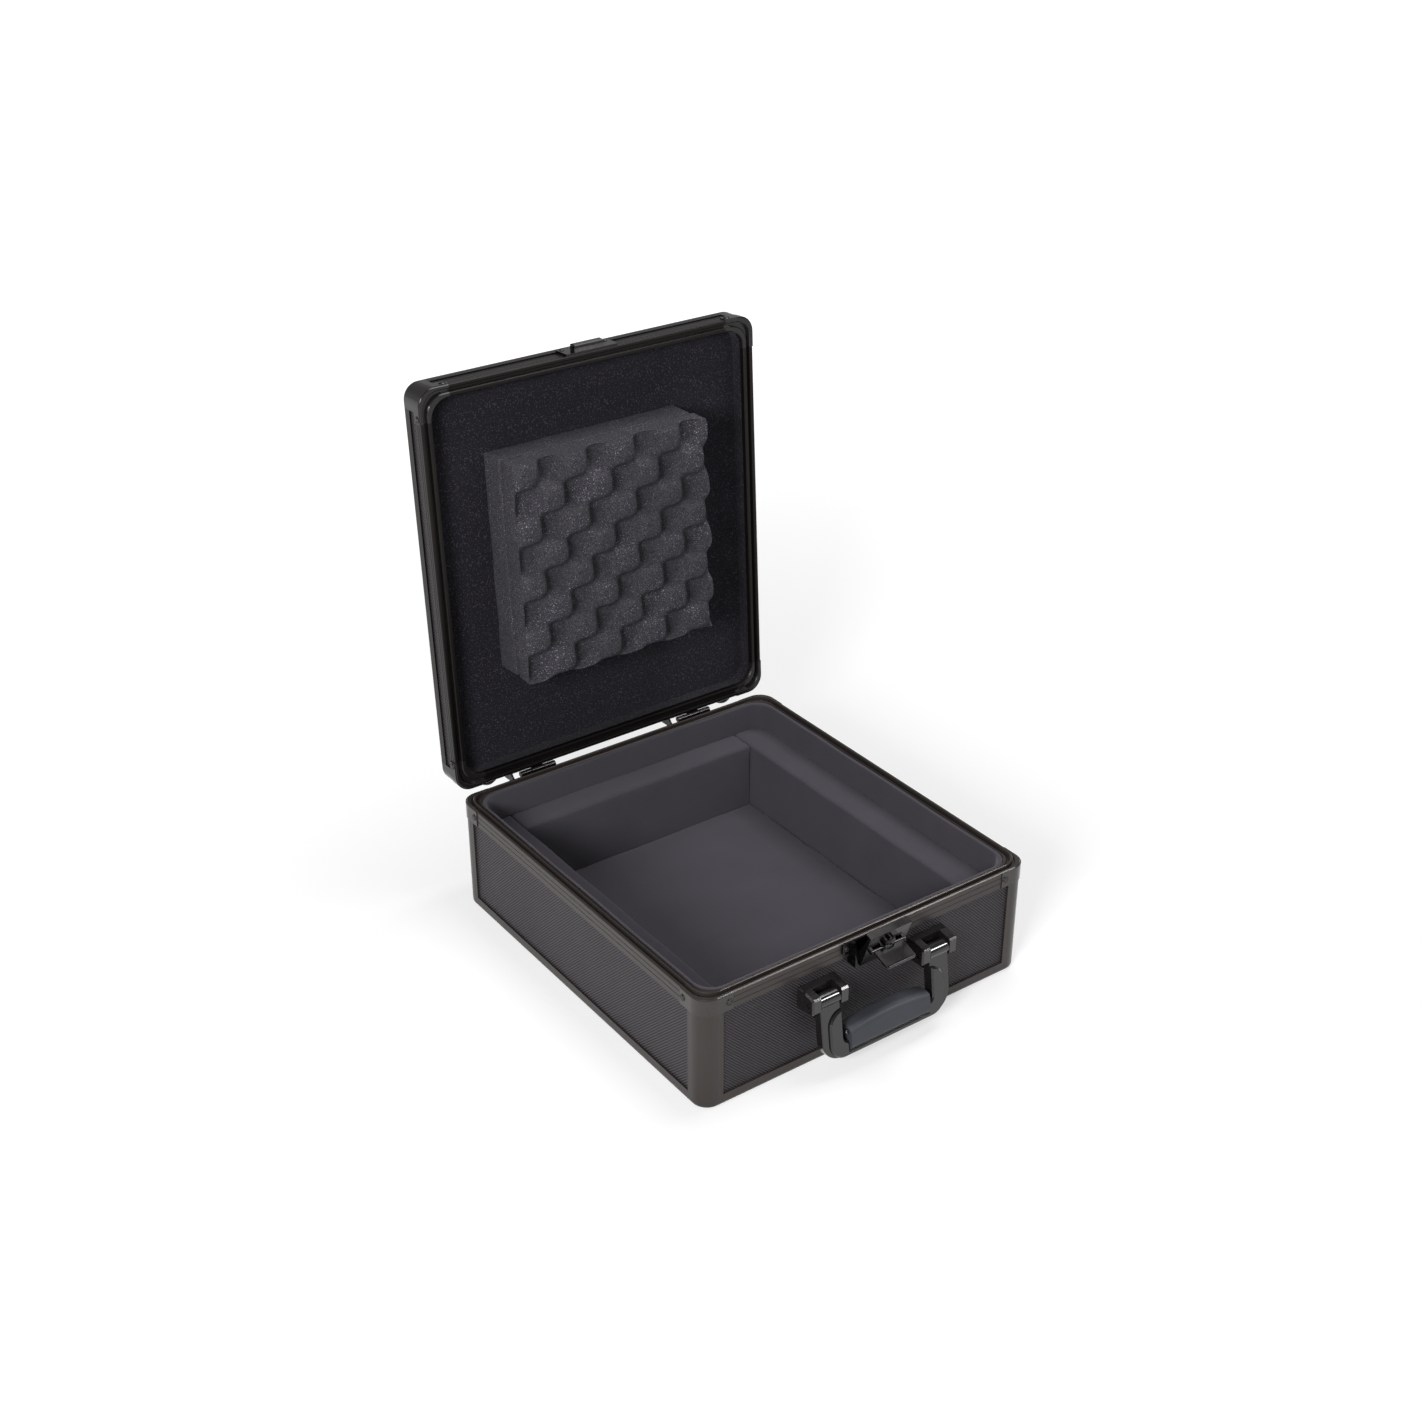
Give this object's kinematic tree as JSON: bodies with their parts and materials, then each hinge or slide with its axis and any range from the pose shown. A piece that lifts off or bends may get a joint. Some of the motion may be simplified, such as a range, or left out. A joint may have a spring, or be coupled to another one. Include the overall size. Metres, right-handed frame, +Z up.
{
  "type": "equipment case",
  "caption": "Rectangular hard case with a shallow hinged lid, a foam-lined well with ledges, wavy lid foam, a key latch and a drop handle.",
  "frame": {"origin": "middle of the base's underside, on the floor", "axes": "+X to the right along the front, +Y from the front (handle side) to the back (hinge side), +Z up"},
  "size_m": [0.3534, 0.4774, 0.5042],
  "materials": {
    "laminate": "dark grey ribbed laminate",
    "profile": "satin, dark anodised",
    "black_bracket": "gloss black",
    "gloss_black": "gloss black",
    "black_chrome": "dark plated steel",
    "fastener": "dark steel",
    "grip": "soft slate grey",
    "lining": "short pile, dark grey",
    "foam": "open-cell foam, mid grey",
    "foot": "matte black"
  },
  "bodies": {
    "base": {"base_bottom_panel": "laminate", "base_front_panel": "laminate", "base_rear_panel": "laminate", "base_left_panel": "laminate", "base_right_panel": "laminate", "base_corner_posts": "profile", "base_bottom_edges": "profile", "base_bottom_corners": "black_bracket", "base_rim_front": "profile", "base_rim_rear": "profile", "base_rim_left": "profile", "base_rim_right": "profile", "base_rim_corners": "black_bracket", "ledge_right": "lining", "ledge_left": "lining", "ledge_rear": "lining", "ledge_front": "lining", "floor_pad": "lining", "base_wall_lining": "lining", "base_rear_feet": "foot", "handle_bracket_right": "gloss_black", "handle_bracket_left": "gloss_black", "handle_pins": "fastener", "latch_housing": "black_chrome", "latch_pin": "fastener", "hinge_base_leaves": "black_chrome", "hinge_pins": "fastener", "base_rim_rivets": "fastener"},
    "lid": {"lid_top_panel": "laminate", "lid_front_wall": "laminate", "lid_rear_wall": "laminate", "lid_left_wall": "laminate", "lid_right_wall": "laminate", "lid_rim_front": "profile", "lid_rim_rear": "profile", "lid_rim_left": "profile", "lid_rim_right": "profile", "lid_rim_corners": "black_bracket", "lid_corner_caps": "black_bracket", "lid_top_edges": "profile", "lid_wall_lining": "lining", "lid_top_lining": "lining", "foam_slab": "foam", "foam_waves": "foam", "lid_rear_feet": "foot", "strike_plate": "black_chrome", "hinge_lid_leaves": "black_chrome", "lid_rim_rivets": "fastener"},
    "handle": {"handle_frame": "gloss_black", "handle_grip": "grip"},
    "hook": {"latch_hook": "black_chrome", "flap_pin": "fastener"},
    "flap": {"latch_flap": "black_chrome"},
    "plug": {"key_plug": "black_chrome"}
  },
  "joints": [
    {"name": "lid_hinge", "type": "hinge", "parent": "base", "child": "lid", "pos_m": [0, 0.195, 0.1112], "axis": [1, 0, 0], "range_deg": [0, 93.3]},
    {"name": "handle_swing", "type": "hinge", "parent": "base", "child": "handle", "pos_m": [0, -0.205, 0.0743], "axis": [-1, 0, 0], "range_deg": [0, 92]},
    {"name": "hook_swing", "type": "hinge", "parent": "base", "child": "hook", "pos_m": [0, -0.198, 0.093], "axis": [-1, 0, 0], "range_deg": [0, 20]},
    {"name": "flap_fold", "type": "hinge", "parent": "hook", "child": "flap", "pos_m": [0, -0.21051, 0.10632], "axis": [1, 0, 0], "range_deg": [0, 88]},
    {"name": "key_turn", "type": "hinge", "parent": "hook", "child": "plug", "pos_m": [0, -0.21391, 0.11009], "axis": [0, -0.9397, -0.342], "range_deg": [0, 90]}
  ]
}
